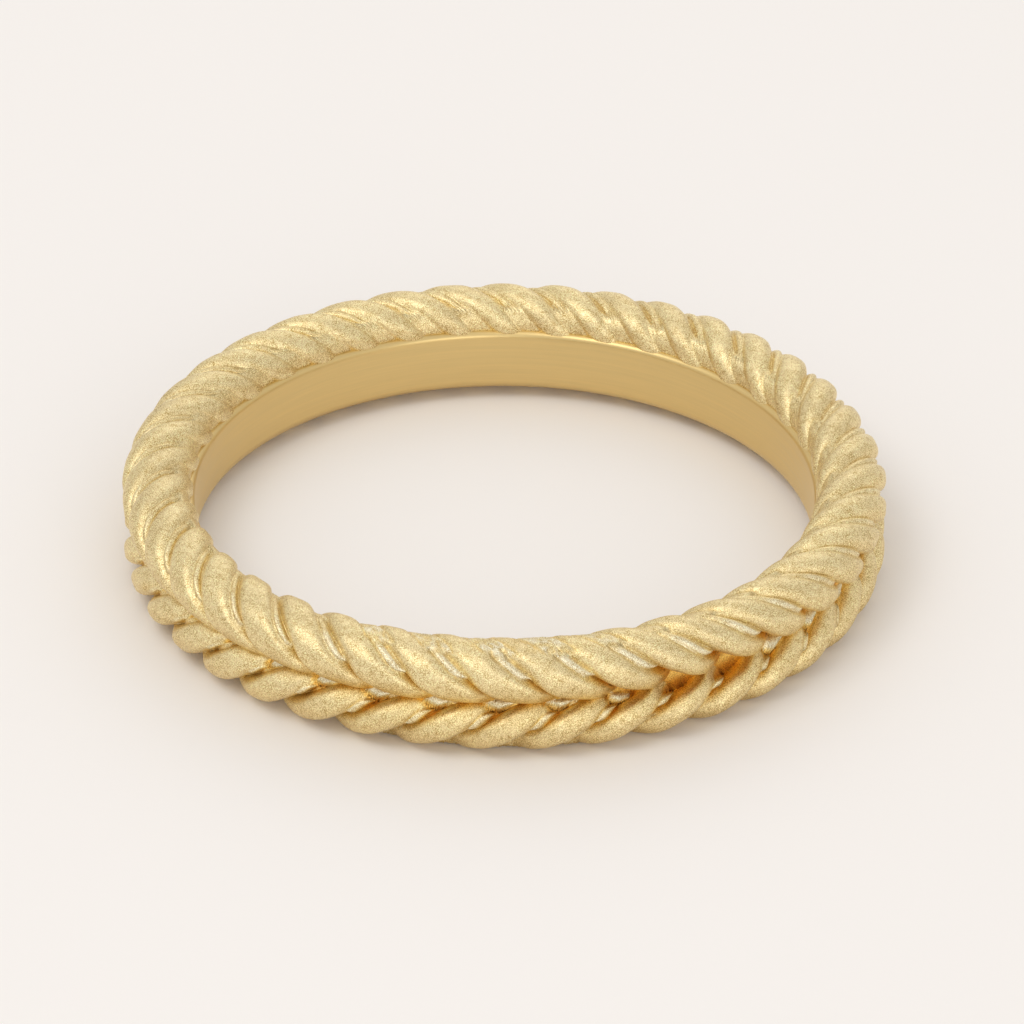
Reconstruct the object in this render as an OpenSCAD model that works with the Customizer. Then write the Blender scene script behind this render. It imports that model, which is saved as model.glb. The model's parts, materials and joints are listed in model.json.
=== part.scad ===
/* [Bore] */
// Diameter of the finger hole
bore_d = 17.3; // [16:0.1:20]

/* [Ropes] */
// Height of one rope over the crests of its strands, along the finger
rope_h = 1.74; // [1.6:0.02:1.9]
// Depth of one rope over the crests of its strands, from the finger outwards
rope_depth = 2.04; // [1.8:0.02:2.2]
// Distance between the centre lines of the two ropes
rope_spacing = 1.44; // [1.3:0.02:1.6]
// Thick strands in each rope
strands = 3; // [3:1:4]
// Full turns that each strand makes on its way round the ring
turns = 13; // [10:1:14]
// Depth of the grooves between the thick strands, as a share of the rope's radius
groove = 0.5; // [0.4:0.01:0.55]
// Fullness of the thick strands, of which a higher one gives narrower grooves
fullness = 2.7; // [2:0.1:4]
// Distance from the rope's centre to the top of the thin strand in each groove, on top of the ring
filler_low = 0.5; // [0.44:0.01:0.6]
// The same distance where the two ropes meet
filler_high = 0.76; // [0.7:0.01:0.8]
// How far the grooves are filled on the finger's side, as a share of the rope's radius
web = 0.92; // [0.7:0.01:0.96]
// Angle round the rope, from its outermost line, at which that filling starts
web_from = 70; // [60:1:90]
// How far the grooves are filled where the two ropes meet, as a share of the rope's radius
seam_fill = 0.86; // [0.7:0.01:0.9]
// Angle by which the strands are turned where the ring starts
start = 32; // [0:1:120]

/* [Inner wall] */
// Distance from the ring's middle plane up to the edge of the smooth wall round the finger hole
wall_above = 0.65; // [0.65:0.05:0.9]
// Distance from the middle plane down to its other edge
wall_below = 1.3; // [1.1:0.05:1.35]
// Thickness of the smooth wall, which the ropes sink into
wall_t = 0.8; // [0.7:0.05:0.9]
// Radius of the rounding on the wall's upper edge
round_above = 0.2; // [0.1:0.05:0.3]
// Radius of the rounding on its lower edge
round_below = 0.4; // [0.2:0.05:0.5]
// Height of the wall's thicker middle, which fills the space between the ropes
core_h = 1.4; // [1:0.05:1.5]
// Thickness of the thicker middle
core_t = 1.35; // [1.35:0.05:1.5]

/* [Hidden] */
gold = "#D9BE7C";
bore_r = bore_d / 2;
rope_r = rope_h / 2;
stretch = rope_depth / rope_h;
// by how much the strands' inner crests stay clear of the finger hole
crest_gap = 0.02;
rope_ring_r = bore_r + crest_gap + rope_depth / 2;
band_h = rope_spacing + rope_h;
lobes = strands * turns;
steps_per_lobe = 4;
stations = lobes * steps_per_lobe;
// share of the rope's section that one thick strand and one groove take
sector = 360 / strands;
// points of that section, from 0 on the strand's crest to 1 in the middle of the groove
samples = [-0.84, -0.44, 0, 0.44, 0.84, 1];
// angle over which the filling on the finger's side rises
web_rise = 40;
// directions round the rope in which the seam's filling bulges and the thin strands lie highest
seam_angle = 285;
filler_angle = 300;
wall_sides = 120;
edge_sides = 48;

// radius of the rope's section, at a share of the way from a thick strand's crest to the groove's middle
function thick_r(share) = rope_r * (1 - groove * abs(share) ^ fullness);

// radius up to the top of a thin strand, at an angle round the rope
function thin_r(angle) = filler_low + (filler_high - filler_low) * (1 + cos(angle - filler_angle)) / 2;

// radius up to which the grooves are filled, at an angle round the rope
function fill_r(angle) =
    let (rise = (cos(web_from) - cos(angle)) / (cos(web_from) - cos(web_from + web_rise)),
         inward = max(0, min(1, rise)))
    rope_r * max(web * inward ^ 2 * (3 - 2 * inward), seam_fill * cos(angle - seam_angle));

section = [for (s = [0 : strands - 1], share = samples) [share, (s + share / 2) * sector]];

module rope(side) {
    n = len(section);
    points = [for (i = [0 : stations - 1], p = section)
        let (around = i * 360 / stations, at = start + p[1] - around * turns,
             strand = p[0] == 1 ? thin_r(at) : thick_r(p[0]),
             out = max(strand, fill_r(at)), r = rope_ring_r + stretch * out * cos(at))
        [r * cos(around), r * sin(around), side * (rope_spacing / 2 + out * sin(at))]];
    faces = [for (i = [0 : stations - 1], j = [0 : n - 1])
        let (a = i * n + j, b = i * n + (j + 1) % n, c = (i + 1) % stations * n + (j + 1) % n,
             d = (i + 1) % stations * n + j)
        each side > 0 ? [[a, b, c], [a, c, d]] : [[a, c, b], [a, d, c]]];
    translate([0, 0, band_h / 2]) polyhedron(points, faces);
}

module inner_wall() {
    translate([0, 0, band_h / 2])
        rotate_extrude($fn = wall_sides)
            translate([bore_r, 0])
                union() {
                    translate([round_below, -core_h / 2]) square([core_t - round_below, core_h]);
                    translate([0, round_below - wall_below])
                        square([wall_t, wall_above + wall_below - round_above - round_below]);
                    translate([round_above, wall_above - 2 * round_above])
                        square([wall_t - round_above, 2 * round_above]);
                    translate([round_below, -wall_below]) square([wall_t - round_below, 2 * round_below]);
                    translate([round_above, wall_above - round_above]) circle(round_above, $fn = edge_sides);
                    translate([round_below, round_below - wall_below]) circle(round_below, $fn = edge_sides);
                }
}

module band() color(gold) union() {
    rope(1);
    rope(-1);
    inner_wall();
}

band();
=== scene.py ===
import bisect
import json
import math
from functools import lru_cache
import bmesh
import bpy
from mathutils import Matrix, Vector, noise


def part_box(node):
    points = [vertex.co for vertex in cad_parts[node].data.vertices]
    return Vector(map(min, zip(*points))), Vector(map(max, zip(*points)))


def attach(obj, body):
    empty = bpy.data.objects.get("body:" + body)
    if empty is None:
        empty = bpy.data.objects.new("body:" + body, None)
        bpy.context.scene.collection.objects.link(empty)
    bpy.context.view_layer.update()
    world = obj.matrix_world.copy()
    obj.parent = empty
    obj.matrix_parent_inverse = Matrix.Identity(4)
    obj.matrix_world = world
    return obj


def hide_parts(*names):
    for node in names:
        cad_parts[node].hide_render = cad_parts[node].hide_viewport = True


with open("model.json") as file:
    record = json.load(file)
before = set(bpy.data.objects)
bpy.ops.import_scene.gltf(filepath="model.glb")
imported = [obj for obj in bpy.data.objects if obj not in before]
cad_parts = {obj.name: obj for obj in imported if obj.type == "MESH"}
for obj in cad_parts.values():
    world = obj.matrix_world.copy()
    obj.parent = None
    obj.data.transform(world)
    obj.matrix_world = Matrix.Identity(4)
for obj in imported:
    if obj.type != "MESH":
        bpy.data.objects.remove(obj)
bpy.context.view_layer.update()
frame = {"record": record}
mm = 0.001
fullTurn = 2 * math.pi

# what the frame gives: the finger hole, the ring's outer radius and its height
bandLow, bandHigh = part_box("band")
boreRadius = frame["record"]["mounts"][0]["dims"]["r_mm"] * mm
outerRadius = (bandHigh.x - bandLow.x) / 2
bandHeight = bandHigh.z - bandLow.z
middleHeight = bandHeight / 2
print("frame read: bore", round(boreRadius / mm, 2), "outer", round(outerRadius / mm, 2),
      "height", round(bandHeight / mm, 2))


# camera at the photo's angle, in front of the ring and above it
view = {
    "elevation": math.radians(31.2),
    "distance": 180 * mm,
    "roll": math.radians(0.3),
    "pixelsPerMm": 35.7,
    "ringAt": (504.5, 505.8),    # pixel of the ring's centre
    "imageSize": 1024,
    "sensorWidth": 36,
    "clipStart": 10 * mm,
    "clipEnd": 10,
}


def addCamera():
    back = Vector((0, -math.cos(view["elevation"]), math.sin(view["elevation"])))
    level = Matrix.Rotation(view["roll"], 3, back)
    right = level @ Vector((1, 0, 0))
    up = level @ back.cross(Vector((1, 0, 0)))
    perPixel = mm / view["pixelsPerMm"]
    middle = view["imageSize"] / 2
    place = Vector((0, 0, middleHeight)) + back * view["distance"]
    place += right * (middle - view["ringAt"][0]) * perPixel + up * (view["ringAt"][1] - middle) * perPixel
    lens = bpy.data.cameras.new("camera")
    lens.sensor_width = view["sensorWidth"]
    lens.lens = view["distance"] / (view["imageSize"] * perPixel) * view["sensorWidth"]
    lens.clip_start = view["clipStart"]
    lens.clip_end = view["clipEnd"]
    camera = bpy.data.objects.new("camera", lens)
    bpy.context.collection.objects.link(camera)
    camera.matrix_world = Matrix.Translation(place) @ Matrix((right, up, back)).transposed().to_4x4()
    bpy.context.scene.camera = camera


addCamera()
print("camera set")


# helpers for colours and nodes
def linearColour(hexCode):
    channels = []
    for start in (1, 3, 5):
        value = int(hexCode[start:start + 2], 16) / 255
        channels.append(value / 12.92 if value <= 0.04045 else ((value + 0.055) / 1.055) ** 2.4)
    return (*channels, 1)


def addNode(material, kind, settings={}, inputs={}):
    node = material.node_tree.nodes.new(kind)
    for name, value in settings.items():
        setattr(node, name, value)
    for socket, value in inputs.items():
        if isinstance(value, bpy.types.NodeSocket):
            material.node_tree.links.new(value, node.inputs[socket])
        else:
            node.inputs[socket].default_value = value
    return node


def newMaterial(name):
    material = bpy.data.materials.new(name)
    material.use_nodes = True
    material.node_tree.nodes.clear()
    return material


# helpers for meshes: turn a section all the way round the ring, and make a piece of a mesh
def spinRound(mesh, steps):
    bmesh.ops.spin(mesh, geom=mesh.verts[:] + mesh.edges[:], cent=(0, 0, 0), axis=(0, 0, 1),
                   angle=fullTurn, steps=steps, use_merge=True)


def finishPiece(mesh, name):
    bmesh.ops.recalc_face_normals(mesh, faces=mesh.faces)
    for face in mesh.faces:
        face.smooth = True
    data = bpy.data.meshes.new(name)
    mesh.to_mesh(data)
    mesh.free()
    piece = bpy.data.objects.new(name, data)
    bpy.context.collection.objects.link(piece)
    print(name, "has", len(data.polygons), "faces")
    return piece


# two ropes, mirror images of each other, that sink into each other along the seam; angles round a rope start
# at its outermost line and grow towards the ring's top, or for the lower rope towards the floor
rope = {
    "strands": 3,
    "turns": 13,
    "height": 1.74 * mm,
    "start": math.radians(32),
    "crestGap": 0.02 * mm,               # inner crests stay clear of the finger hole
    "seamAt": math.radians(292),
    "fillet": 0.04 * mm,                 # cast metal rounds off the fillings' edges
    # where the upper rope's thick strands touch, hide the thin ones and leave a shallower groove
    "closedAt": math.radians(-12),
    "closedWidth": math.radians(26),
    "closedRise": 0.45,
    # where the grooves widen towards the pockets in the seam
    "openAt": math.radians(-58),
    "openWidth": math.radians(24),
    # thin strands in the grooves: from the rope's centre to their top where they lie lowest and highest
    "thinLow": 0.36 * mm,
    "thinHigh": 0.77 * mm,
    "thinFade": math.radians(16),        # angle over which one sinks between the thick strands
    "thinFallsSlowly": 0.5,              # the upper ones sink less towards the top of the ring
    "lowerThinner": 0.8,                 # radius of the lower ones as a share of the upper ones'
    "lowerThinStart": math.radians(-47),
    "thinLeaves": math.radians(10),      # the lower ones leave the groove's middle towards the seam
    # fine lines beside the thin strands and along the webs
    "creaseDepth": 0.035 * mm,
    "creaseWidth": 0.02 * mm,
    # flat facets in the lower rope's grooves at the seam, with a deeper line round each
    "facetAt": math.radians(-37),        # way in which they face, seen from the rope's centre
    "facetEnd": math.radians(-40),       # angle round the rope that their tips reach
    "facetLeftTaper": 0.25,
    "facetRightTaper": 0.5,
    "facetEdge": math.radians(12),
    "facetHighest": 1.1,                 # share of the rope's radius, hidden in the other rope
    "facetCreaseDepth": 0.07 * mm,
    "facetCreaseWidth": 0.07 * mm,
    # width of the painted shade line round each facet
    "facetLineWidth": 0.07 * mm,
    # unevenness of the hand finish, and small pits in the solder of the webs
    "waviness": 0.018 * mm,
    "wavinessLength": 0.55 * mm,
    "wavinessApart": 7,                  # so that the two ropes differ
    "pitDepth": 0.05 * mm,
    "pitLength": 0.13 * mm,
    "pitSharpness": 2,
    # mesh
    "pointsPerStrand": 44,
    "stationsPerLobe": 18,
    "crowding": 0.22,                    # draws the section's points towards the grooves
    "frontCrowding": 0.35,               # and the sections towards the front
}
# how dark a rope's gold is drawn, mostly painted shade and painted reflection, from 0 on bright solder with
# a painted highlight to 1 in the deepest painted shade; depths are shares of the rope's radius
tone = {
    "crest": 0.12,
    "groove": 0.45,
    "pocket": 0.8,
    # the facets are drawn nearly as bright as solder, a painted highlight
    "facet": 0.02,
    # painted shade that is added where the surface lies deep, near the seam, on a rope's lower side and in
    # the fine lines
    "sunk": 0.15,
    "nearSeam": 0.1,
    "below": 0.1,
    "crease": 0.15,
    "creaseNearSeam": 0.3,
    "webCrease": 0.2,
    "facetLeftLine": 0.8,
    "facetRightLine": 0.5,
    # painted shade and painted reflection that are added in the pockets, the depth at which they start and
    # the depth over which they darken
    "inPocket": 0.65,
    "pocketFrom": 0.18,
    "pocketDeepens": 0.15,
    "pocketFalloff": 1.5,                # how fast it fades away from the seam
    "pocketLeast": 0.3,                  # share of it left where the strands have no lines
    # painted reflection that is added from glowFrom to the seam, where each rope mirrors the other one's
    # gold
    "glow": 0.3,
    "glowFrom": math.radians(-40),
    "glowWidth": math.radians(18),
    "glowLeast": 0.2,                    # share of it left of a lower groove
    # painted shadow that is added in the hole above a facet, and where that is, seen from the upper rope's
    # centre
    "notchShadow": 0.5,
    "notchAt": math.radians(-38),
    "notchWidth": math.radians(12),
    "notchFrom": 0.15,
    "notchDeepens": 0.2,
    # stains in the pockets, which start at a share of the rope's radius
    "stain": 0.5,
    "stainedFrom": 0.7,
    "stainFade": 0.1,
    "stainLimit": 0.3,                   # keeps the darkest stains off black
    "stainLength": 0.1 * mm,
    # bright solder with a painted highlight on the thin strands and in spots on the webs, and painted shade
    # in the webs' pits
    "shineEnd": math.radians(72),        # above this a thin strand is as dull as the thick ones
    "solderHighlightCover": 0.6,
    "solderHighlightContrast": 2,
    "solderHighlightLength": 0.3 * mm,
    "pit": 0.15,
    "pitContrast": 3,
}
# how the hand work changes on the way round, at degrees from the front to the right; radii are in mm,
# directions in degrees and all else is a share, heights and depths of the rope's radius
handWork = {
    "degrees": (-180, -60, -45, -32, -22, 8, 17, 27, 39, 45, 60, 180),
    # thick strands: fullness, how much more of it they have where the upper rope's touch, and how much less
    # the lower rope's have below
    "fullness": (2.7, 3.6, 4.4, 4.0, 3.2, 3.3, 3.0, 2.5, 2.5, 2.9, 2.8, 2.7),
    "closing": (0.5, 0.5, 0.7, 0.8, 1.0, 1.0, 0.4, 0, 0, 0.3, 0.4, 0.5),
    "looserBelow": (0.42, 0.5, 0.58, 0.55, 0.42, 0.42, 0.42, 0.42, 0.42, 0.42, 0.42, 0.42),
    # grooves: depth, how much more of it the lower rope has below, and how far each rope's open at the seam
    "depth": (0.5, 0.5, 0.54, 0.56, 0.52, 0.5, 0.54, 0.62, 0.62, 0.52, 0.5, 0.5),
    "deeperBelow": (-0.1, -0.2, -0.26, -0.18, 0.08, 0.2, 0.2, 0.1, 0.1, 0.05, 0, -0.1),
    "open": (0, 0, 0, 0, 0, 0, 0.3, 0.5, 0.5, 0.2, 0, 0),
    "lowerOpen": (0, 0, 0, 0.1, 0.35, 0.35, 0.5, 0.6, 0.6, 0.4, 0, 0),
    # thin strands: radius, direction from the groove's middle, and where each rope's lie highest and end
    "thinRadius": (0.16, 0.13, 0.12, 0.13, 0.20, 0.25, 0.23, 0.20, 0.19, 0.19, 0.18, 0.16),
    "thinShift": (-7, -6, -5, -6, -7, -7, -7, -7, -7, -7, -7, -7),
    "thinAt": (40, 45, 45, 45, 42, 40, 38, 34, 34, 36, 40, 40),
    "thinEnd": (0, 5, 5, 8, 12, 12, 8, 0, 0, 0, 0, 0),
    "lowerThinAt": (-25, -25, -25, -25, -25, -25, -30, -42, -42, -30, -25, -25),
    "lowerThinEnd": (0, -12, -12, -10, 0, 0, -10, -22, -22, -10, 0, 0),
    # fillings: height of the webs, where they start and the angle in which they rise, and height in the seam
    "web": (0.88, 0.90, 0.82, 0.80, 0.93, 0.98, 0.93, 0.84, 0.84, 0.86, 0.88, 0.88),
    "webFrom": (118, 110, 105, 95, 62, 50, 52, 60, 62, 68, 105, 118),
    "webRise": (16, 16, 16, 16, 16, 16, 20, 32, 32, 32, 24, 16),
    "seamFill": (0.88, 0.88, 0.84, 0.74, 0.62, 0.56, 0.52, 0.47, 0.47, 0.62, 0.80, 0.88),
    # distance of the facets from the lower rope's centre
    "facet": (0.60, 0.60, 0.76, 0.84, 0.89, 0.89, 0.78, 0.20, 0.20, 0.90, 0.90, 0.60),
    # how clear the fine lines are, in depth and in painted shade, and how bright the solder with its painted
    # highlight is on the thin strands and on the webs
    "lines": (0.2, 0.1, 0.1, 0.3, 1.0, 1.0, 1.0, 0.8, 0.8, 0.8, 0.5, 0.2),
    "solderHighlight": (0.2, 0.3, 0.5, 0.7, 1.0, 1.0, 1.0, 0.9, 0.9, 0.9, 0.4, 0.2),
    "patches": (0.1, 0.2, 0.4, 0.7, 1.0, 1.0, 0.6, 0.2, 0.2, 0.2, 0.1, 0.1),
}
ropeRadius = rope["height"] / 2
ropeSpacing = bandHeight - rope["height"]
ropeDepth = outerRadius - boreRadius - rope["crestGap"]
ringRadius = boreRadius + rope["crestGap"] + ropeDepth / 2
stretch = ropeDepth / rope["height"]
sector = fullTurn / rope["strands"]


def clamp(value):
    return max(0, min(1, value))


def easeStep(value):
    share = clamp(value)
    return share * share * (3 - 2 * share)


def bell(distance, width):
    return math.exp(-(distance / width) ** 2)


def softMax(a, b, width):
    overlap = max(width - abs(a - b), 0) / width
    return max(a, b) + overlap * overlap * width / 4


@lru_cache(maxsize=None)
def handWorkAt(around):
    degrees = (math.degrees(around) + 270) % 360 - 180    # the front, at -90 degrees, becomes 0
    places = handWork["degrees"]
    after = min(bisect.bisect(places, degrees), len(places) - 1)
    share = (degrees - places[after - 1]) / (places[after] - places[after - 1])
    return {column: values[after - 1] + share * (values[after] - values[after - 1])
            for column, values in handWork.items()}


# how full the thick strands are, and how deep the grooves between them
def grooveAt(angle, work, upper):
    opening = bell(angle - rope["openAt"], rope["openWidth"])
    if upper:
        closed = work["closing"] * bell(angle - rope["closedAt"], rope["closedWidth"])
        fullness = work["fullness"] * (1 + closed) * (1 - work["open"] * opening)
        return fullness, work["depth"] * (1 - rope["closedRise"] * closed)
    below = clamp(math.sin(angle))
    fullness = work["fullness"] * (1 - work["looserBelow"] * below) * (1 - work["lowerOpen"] * opening)
    return fullness, work["depth"] + work["deeperBelow"] * below


# how far a thin strand shows between the thick ones, at an angle past the one where half of it does
def shownAt(past):
    return easeStep(past / rope["thinFade"] + 0.5)


# distance of a thin strand's surface from the rope's centre, and how far it shows
def thinStrandAt(fromGroove, angle, towardsSeam, work, upper):
    thinRadius = work["thinRadius"] * mm
    fromThin = fromGroove - math.radians(work["thinShift"])
    if upper:
        shown = shownAt(angle - math.radians(work["thinEnd"]))
        fromHighest = angle - math.radians(work["thinAt"])
        if fromHighest > 0:
            fromHighest *= rope["thinFallsSlowly"]
    else:
        shown = shownAt(math.radians(work["lowerThinEnd"]) - angle) * shownAt(angle - rope["lowerThinStart"])
        fromHighest = angle - math.radians(work["lowerThinAt"])
        thinRadius *= rope["lowerThinner"]
        fromThin += rope["thinLeaves"] * towardsSeam
    rise = ((1 + math.cos(fromHighest)) / 2) ** 2 * shown
    centre = rope["thinLow"] + (rope["thinHigh"] - rope["thinLow"]) * rise - thinRadius
    root = thinRadius ** 2 - (centre * math.sin(fromThin)) ** 2
    thin = centre * math.cos(fromThin) + math.sqrt(root) if root > 0 else 0
    return thin, shown


# height of the web in a groove on the finger's side, and how far it has risen
def webAt(angle, work):
    start = math.radians(work["webFrom"])
    end = start + math.radians(work["webRise"])
    risen = easeStep((math.cos(start) - math.cos(angle)) / (math.cos(start) - math.cos(end)))
    return ropeRadius * work["web"] * risen, risen


# painted shade and painted reflection: what gold that mirrors gold adds in the pockets and beside the seam
def mirroredGold(fromGroove, angle, towardsSeam, sunk, work, upper):
    pocket = easeStep((sunk - tone["pocketFrom"]) / tone["pocketDeepens"])
    pocket *= towardsSeam ** tone["pocketFalloff"]
    pocket *= tone["pocketLeast"] + (1 - tone["pocketLeast"]) * work["lines"]
    glow = easeStep((tone["glowFrom"] - angle) / tone["glowWidth"])
    glow *= towardsSeam * work["lines"] * work["closing"]
    if not upper:
        rightOfGroove = (1 + math.sin(fullTurn * fromGroove / sector)) / 2
        glow *= tone["glowLeast"] + (1 - tone["glowLeast"]) * rightOfGroove
    return tone["inPocket"] * pocket + tone["glow"] * glow


# a facet between two of the lower rope's thick strands, drawn bright with a painted highlight, and the
# painted shade line round it
def addFacet(fromGroove, angle, fullness, grooveDepth, radius, dark, work):
    left = fromGroove < 0
    taper = rope["facetLeftTaper"] if left else rope["facetRightTaper"]
    fallen = easeStep((rope["facetEnd"] - taper * abs(fromGroove) - angle) / rope["facetEdge"])
    flat = ropeRadius * min(work["facet"] / math.cos(angle - rope["facetAt"]), rope["facetHighest"])
    plane = flat * fallen
    # the painted shade line follows the facet's tip and both sides, where it meets the thick strands
    tip = 4 * fallen * (1 - fallen) * clamp((flat - radius) / rope["facetCreaseDepth"])
    meets = 1 - clamp((1 - flat / ropeRadius) / grooveDepth) ** (1 / fullness)
    beside = (abs(fromGroove) / (sector / 2) - meets) * ropeRadius * sector / 2
    line = max(tip, bell(beside, rope["facetLineWidth"]) * fallen)
    if plane > radius:
        dark = tone["facet"]
    dark += line * (tone["facetLeftLine"] if left else tone["facetRightLine"])
    crease = bell(plane - radius, rope["facetCreaseWidth"])
    return max(plane, radius) - crease * rope["facetCreaseDepth"], dark


# the rope's surface at one point: its radius, how dark its gold is drawn with painted shade and painted
# highlight, and how much it is a web
def ropeSurface(strandAngle, ropeAngle, around, side):
    upper = side > 0
    fromGroove = strandAngle % sector - sector / 2
    angle = (ropeAngle + math.pi) % fullTurn - math.pi
    work = handWorkAt(around)
    towardsSeam = clamp(math.cos(angle - rope["seamAt"]))
    fullness, grooveDepth = grooveAt(angle, work, upper)
    thick = ropeRadius * (1 - grooveDepth * (1 - abs(fromGroove) / (sector / 2)) ** fullness)
    thin, thinShown = thinStrandAt(fromGroove, angle, towardsSeam, work, upper)
    web, webRisen = webAt(angle, work)
    seam = ropeRadius * work["seamFill"] * towardsSeam
    onThin = clamp((thin - thick) / rope["creaseWidth"])
    crease = bell(thick - thin, rope["creaseWidth"]) * work["lines"]
    webCrease = bell(thick - web, rope["creaseWidth"]) * work["lines"] * (1 - onThin)
    radius = max(thick, thin) - crease * rope["creaseDepth"]
    radius = softMax(softMax(radius, web, rope["fillet"]), seam, rope["fillet"])
    radius -= webCrease * rope["creaseDepth"]
    webShare = webRisen * work["patches"] * clamp(1 - abs(radius - web) / rope["fillet"])
    sunk = 1 - radius / ropeRadius

    # painted highlight on the thin strands' solder, strongest towards the front
    shine = work["solderHighlight"] * thinShown * easeStep((tone["shineEnd"] - angle) / rope["thinFade"])
    # painted shade where the surface lies deep, near the seam, on the lower side and in the creases, and
    # painted reflection in the pockets
    dark = tone["crest"] * (1 - shine * onThin) + tone["sunk"] * sunk
    dark += mirroredGold(fromGroove, angle, towardsSeam, sunk, work, upper)
    dark += tone["nearSeam"] * towardsSeam * work["lines"] + tone["below"] * clamp(-side * math.sin(angle))
    dark += crease * (1 - webRisen) * (tone["crease"] + tone["creaseNearSeam"] * towardsSeam)
    dark = min(dark + tone["webCrease"] * webCrease, tone["pocket"])
    if upper:
        # painted shadow in the hole above a facet
        notchShadow = bell(angle - tone["notchAt"], tone["notchWidth"]) * work["closing"]
        dark += tone["notchShadow"] * notchShadow * easeStep((sunk - tone["notchFrom"]) / tone["notchDeepens"])
    elif -math.pi / 2 < angle < 0:
        radius, dark = addFacet(fromGroove, angle, fullness, grooveDepth, radius, dark, work)
    return radius, clamp(dark), webShare


# adds the stains in the pockets, the bright solder with a painted highlight and the painted shade in the
# pits on the webs
def spottedTone(place, radius, dark, web, pit):
    deep = easeStep((tone["stainedFrom"] - radius / ropeRadius) / tone["stainFade"])
    dark += tone["stain"] * deep * min(noise.noise(place / tone["stainLength"]), tone["stainLimit"])
    bright = clamp(tone["solderHighlightCover"] + tone["solderHighlightContrast"] * noise.noise(place / tone["solderHighlightLength"]))
    # painted shade in the webs' pits and painted highlight on the solder spots
    return dark + web * (tone["pit"] * clamp(tone["pitContrast"] * pit) - tone["crest"] * bright)


def makeRope(name, side):
    mesh = bmesh.new()
    upright = Matrix.Translation((ringRadius, 0, 0)) @ Matrix.Rotation(math.pi / 2, 4, "X")
    points = rope["strands"] * rope["pointsPerStrand"]
    bmesh.ops.create_circle(mesh, segments=points, radius=ropeRadius, matrix=upright)
    spinRound(mesh, rope["strands"] * rope["turns"] * rope["stationsPerLobe"])
    darkLayer = mesh.verts.layers.float.new("dark")
    centreHeight = side * ropeSpacing / 2
    apart = Vector((0, 0, rope["wavinessApart"] * side))
    for vertex in mesh.verts:
        x, y, z = vertex.co
        around = math.atan2(y, x)
        around = round(around - rope["frontCrowding"] * math.cos(around), 4)    # the same in a whole section
        strandAngle = math.atan2(z, math.hypot(x, y) - ringRadius)
        strandAngle += rope["crowding"] * math.sin(rope["strands"] * strandAngle)
        ropeAngle = rope["start"] + strandAngle - around * rope["turns"]
        radius, dark, web = ropeSurface(strandAngle, ropeAngle, around, side)
        out = ringRadius + stretch * radius * math.cos(ropeAngle)
        height = centreHeight + side * radius * math.sin(ropeAngle)
        place = Vector((out * math.cos(around), out * math.sin(around), height))
        pit = noise.noise(place / rope["pitLength"])
        uneven = rope["waviness"] * (noise.noise(place / rope["wavinessLength"] + apart) - 1)
        uneven -= web * rope["pitDepth"] * clamp(rope["pitSharpness"] * pit)
        pull = 1 + uneven / ropeRadius
        out = ringRadius + (out - ringRadius) * pull
        height = centreHeight + (height - centreHeight) * pull
        vertex.co = (out * math.cos(around), out * math.sin(around), middleHeight + height)
        vertex[darkLayer] = spottedTone(place, radius, dark, web, pit)
    return finishPiece(mesh, name)


# smooth wall round the finger hole, which the ropes sink into
wall = {
    "above": 0.65 * mm,          # from the ring's middle plane
    "below": 1.3 * mm,
    "thickness": 0.8 * mm,
    "roundingAbove": 0.2 * mm,
    "roundingBelow": 0.4 * mm,
    "roundingSteps": 8,
    "steps": 360,
    "dark": 0,
}
# solder between the ropes, the floor of the pockets in the seam
pocketFloor = {
    "from": 0.7 * mm,            # from the finger hole outwards
    "to": 1.32 * mm,
    "height": 1.2 * mm,
    # the pockets' floor is drawn in painted shade
    "dark": 0.7,
}


def makeTurned(name, profile, roundings, dark):
    mesh = bmesh.new()
    corners = [mesh.verts.new((boreRadius + out, 0, middleHeight + up)) for out, up in profile]
    for corner, following in zip(corners, corners[1:] + corners[:1]):
        mesh.edges.new((corner, following))
    for number, rounding in roundings.items():
        bmesh.ops.bevel(mesh, geom=[corners[number]], offset=rounding, segments=wall["roundingSteps"],
                        profile=0.5, affect="VERTICES", material=-1)
    spinRound(mesh, wall["steps"])
    darkLayer = mesh.verts.layers.float.new("dark")
    for vertex in mesh.verts:
        vertex[darkLayer] = dark
    return finishPiece(mesh, name)


def makeInnerWall(name):
    profile = [(0, wall["above"]), (wall["thickness"], wall["above"]), (wall["thickness"], -wall["below"]),
               (0, -wall["below"])]
    # corners 0 and 3 are the two at the finger hole
    return makeTurned(name, profile, {0: wall["roundingAbove"], 3: wall["roundingBelow"]}, wall["dark"])


def makePocketFloor(name):
    half = pocketFloor["height"] / 2
    profile = [(pocketFloor["from"], half), (pocketFloor["to"], half), (pocketFloor["to"], -half),
               (pocketFloor["from"], -half)]
    return makeTurned(name, profile, {}, pocketFloor["dark"])


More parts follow.
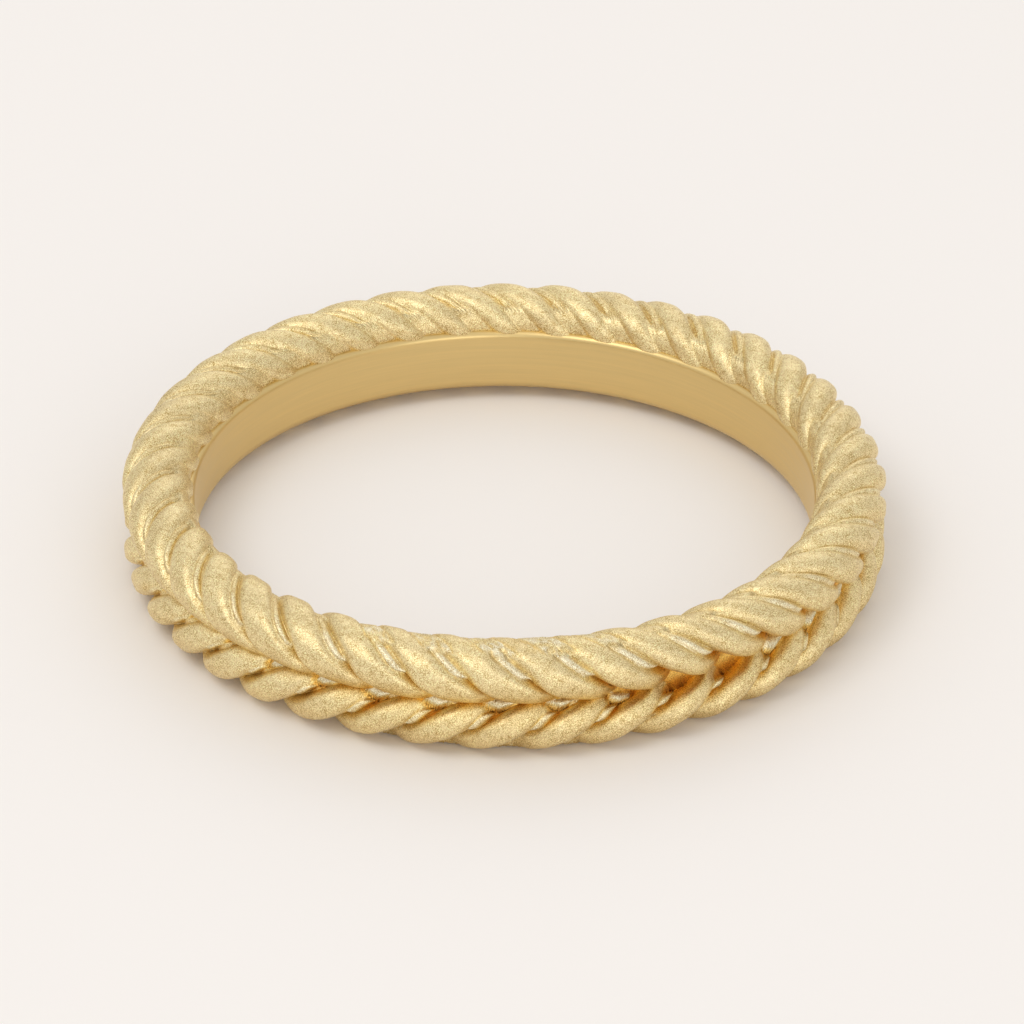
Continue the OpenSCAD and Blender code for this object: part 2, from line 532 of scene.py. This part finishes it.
# 18 carat yellow gold, cast and sandblasted: pale and satin, with a fine sparkle that gathers in patches,
# nearly white on bright solder with a painted highlight, and brown with painted shade and painted reflection
# where gold reflects gold
satinGold = {
    # bright solder with a painted highlight
    "solderHighlightColour": "#FDF2D6",
    "crestColour": "#F9E5B5",
    # the gold in painted shade and painted reflection, deeper at each step to the deep shade colour
    "grooveColour": "#F3D182",
    "pocketColour": "#FDC868",
    "deepShadeColour": "#74501E",
    "speckColour": "#BAA776",    # the blasted dents' shaded sides
    # size and detail of each noise: blasted grit, drawn near the size of a pixel so that it shows, small
    # patches in which the dents lie closer, and larger patches
    "noises": {"grain": (0.025 * mm, 1), "cluster": (0.2 * mm, 2), "patch": (1.2 * mm, 3)},
    "grainDepth": 0.01 * mm,
    # each effect's noise, the noise's values that it runs between, and its own values there
    "effects": {
        "dents": ("grain", 0.36, 0.62, 1, 0),
        "closeness": ("cluster", 0.35, 0.65, 0.55, 1),
        "sparkle": ("grain", 0.45, 0.7, 0.98, 1.25),
        "tint": ("patch", 0.3, 0.7, 0.95, 1.05),
        "roughness": ("cluster", 0.3, 0.7, 0.36, 0.48),
    },
}


def makeSatinGold():
    material = newMaterial("satinGold")
    place = addNode(material, "ShaderNodeTexCoord").outputs["Object"]
    # painted shade and painted highlight, stored on the mesh
    dark = addNode(material, "ShaderNodeAttribute", {"attribute_name": "dark"}).outputs["Fac"]
    noises = {}
    for name, (size, detail) in satinGold["noises"].items():
        noises[name] = addNode(material, "ShaderNodeTexNoise", {}, {
            "Vector": place, "Scale": 1 / size, "Detail": detail}).outputs["Fac"]
    effects = {}
    for name, (source, fromMin, fromMax, toMin, toMax) in satinGold["effects"].items():
        effects[name] = addNode(material, "ShaderNodeMapRange", {}, {
            "Value": noises[source], "From Min": fromMin, "From Max": fromMax,
            "To Min": toMin, "To Max": toMax}).outputs["Result"]
    colour = addNode(material, "ShaderNodeValToRGB", {}, {"Fac": dark})
    # the ramp's two ends, bright solder with a painted highlight and the deepest painted shade, and the
    # steps between them
    stops = colour.color_ramp.elements
    stops[0].color = linearColour(satinGold["solderHighlightColour"])
    stops[1].color = linearColour(satinGold["deepShadeColour"])
    for name in ("crest", "groove", "pocket"):
        stops.new(tone[name]).color = linearColour(satinGold[name + "Colour"])
    speck = addNode(material, "ShaderNodeMath", {"operation": "MULTIPLY"}, {
        0: effects["dents"], 1: effects["closeness"]})
    # a Mix node's sockets for colours: 0 is the share, 6 and 7 are mixed, and 2 comes out
    specked = addNode(material, "ShaderNodeMix", {"data_type": "RGBA", "blend_type": "MULTIPLY"}, {
        0: speck.outputs["Value"], 6: colour.outputs["Color"], 7: linearColour(satinGold["speckColour"])})
    both = addNode(material, "ShaderNodeMath", {"operation": "MULTIPLY"}, {
        0: effects["tint"], 1: effects["sparkle"]})
    shade = addNode(material, "ShaderNodeHueSaturation", {}, {
        "Color": specked.outputs[2], "Value": both.outputs["Value"]})
    bump = addNode(material, "ShaderNodeBump", {}, {
        "Height": noises["grain"], "Distance": satinGold["grainDepth"], "Strength": 1})
    shader = addNode(material, "ShaderNodeBsdfPrincipled", {}, {
        "Base Color": shade.outputs["Color"], "Metallic": 1, "Roughness": effects["roughness"],
        "Normal": bump.outputs["Normal"]})
    addNode(material, "ShaderNodeOutputMaterial", {}, {"Surface": shader.outputs["BSDF"]})
    return material


# the same gold inside, turned and worn smooth: calmer, and drawn deeper in colour as painted shade, with
# fine lines round the hole
burnishedGold = {
    # deeper than the outside's gold: painted shade inside the ring
    "colour": "#E0C589",
    "lineWidth": 0.06 * mm,      # marks of the turning, drawn as coarse as they need to show
    "lineLength": 2.5 * mm,
    "lineDepth": 0.0015 * mm,
    "lineDetail": 3,
    # the lines' values that each effect runs between, and its own values there
    "effects": {
        "tint": (0.3, 0.7, 0.96, 1.03),
        "roughness": (0.3, 0.7, 0.35, 0.45),
    },
}


def makeBurnishedGold():
    material = newMaterial("burnishedGold")
    place = addNode(material, "ShaderNodeTexCoord").outputs["Object"]
    along = 1 / burnishedGold["lineLength"]
    stretched = addNode(material, "ShaderNodeMapping", {}, {
        "Vector": place, "Scale": (along, along, 1 / burnishedGold["lineWidth"])})
    lines = addNode(material, "ShaderNodeTexNoise", {}, {
        "Vector": stretched.outputs["Vector"], "Scale": 1,
        "Detail": burnishedGold["lineDetail"]}).outputs["Fac"]
    effects = {}
    for name, (fromMin, fromMax, toMin, toMax) in burnishedGold["effects"].items():
        effects[name] = addNode(material, "ShaderNodeMapRange", {}, {
            "Value": lines, "From Min": fromMin, "From Max": fromMax,
            "To Min": toMin, "To Max": toMax}).outputs["Result"]
    shade = addNode(material, "ShaderNodeHueSaturation", {}, {
        "Color": linearColour(burnishedGold["colour"]), "Value": effects["tint"]})
    bump = addNode(material, "ShaderNodeBump", {}, {
        "Height": lines, "Distance": burnishedGold["lineDepth"], "Strength": 1})
    shader = addNode(material, "ShaderNodeBsdfPrincipled", {}, {
        "Base Color": shade.outputs["Color"], "Metallic": 1, "Roughness": effects["roughness"],
        "Normal": bump.outputs["Normal"]})
    addNode(material, "ShaderNodeOutputMaterial", {}, {"Surface": shader.outputs["BSDF"]})
    return material


outsideGold = makeSatinGold()
insideGold = makeBurnishedGold()
ringPieces = {
    makeRope("upper_rope", 1): outsideGold,
    makeRope("lower_rope", -1): outsideGold,
    makeInnerWall("inner_wall"): insideGold,
    makePocketFloor("pocket_floor"): outsideGold,
}
for piece, material in ringPieces.items():
    piece.data.materials.append(material)
    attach(piece, "root")
    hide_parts("band")
print("ring made")


# plain pale floor under soft studio light
studio = {
    "floorColour": "#F5F1EE",
    "floorRoughness": 0.9,
    "floorGloss": 0.2,
    "floorRadius": 1.5,
    "floorSides": 96,
    "airColour": "#FFFDFA",
    "airStrength": 0.78,
}
# places and sizes in metres, power in watts
softboxes = {
    "keySoftbox": {"place": (-0.2, -0.14, 0.42), "size": 0.24, "power": 0.48},
    "fillSoftbox": {"place": (0.14, -0.42, 0.15), "size": 0.24, "power": 0.26},
    "backSoftbox": {"place": (0.05, 0.40, 0.26), "size": 0.30, "power": 0.165},
}


# matt warm white paper, which takes soft shadows and mirrors next to nothing
def makeMattPaper():
    material = newMaterial("mattPaper")
    shader = addNode(material, "ShaderNodeBsdfPrincipled", {}, {
        "Base Color": linearColour(studio["floorColour"]), "Roughness": studio["floorRoughness"],
        "Specular IOR Level": studio["floorGloss"]})
    addNode(material, "ShaderNodeOutputMaterial", {}, {"Surface": shader.outputs["BSDF"]})
    return material


def makeFloor():
    mesh = bmesh.new()
    bmesh.ops.create_circle(mesh, cap_ends=True, segments=studio["floorSides"], radius=studio["floorRadius"])
    data = bpy.data.meshes.new("floor")
    mesh.to_mesh(data)
    mesh.free()
    data.materials.append(makeMattPaper())
    floor = bpy.data.objects.new("floor", data)
    bpy.context.collection.objects.link(floor)


def makeLight():
    world = bpy.data.worlds.new("studioAir")
    world.use_nodes = True
    background = world.node_tree.nodes["Background"]
    background.inputs["Color"].default_value = linearColour(studio["airColour"])
    background.inputs["Strength"].default_value = studio["airStrength"]
    bpy.context.scene.world = world
    for name, box in softboxes.items():
        light = bpy.data.lights.new(name, "AREA")
        light.shape = "SQUARE"
        light.size = box["size"]
        light.energy = box["power"]
        lamp = bpy.data.objects.new(name, light)
        bpy.context.collection.objects.link(lamp)
        place = Vector(box["place"])
        lamp.matrix_world = Matrix.Translation(place) @ place.to_track_quat("Z", "Y").to_matrix().to_4x4()
    bpy.context.scene.view_settings.view_transform = "Standard"


makeFloor()
makeLight()
print("studio lit")
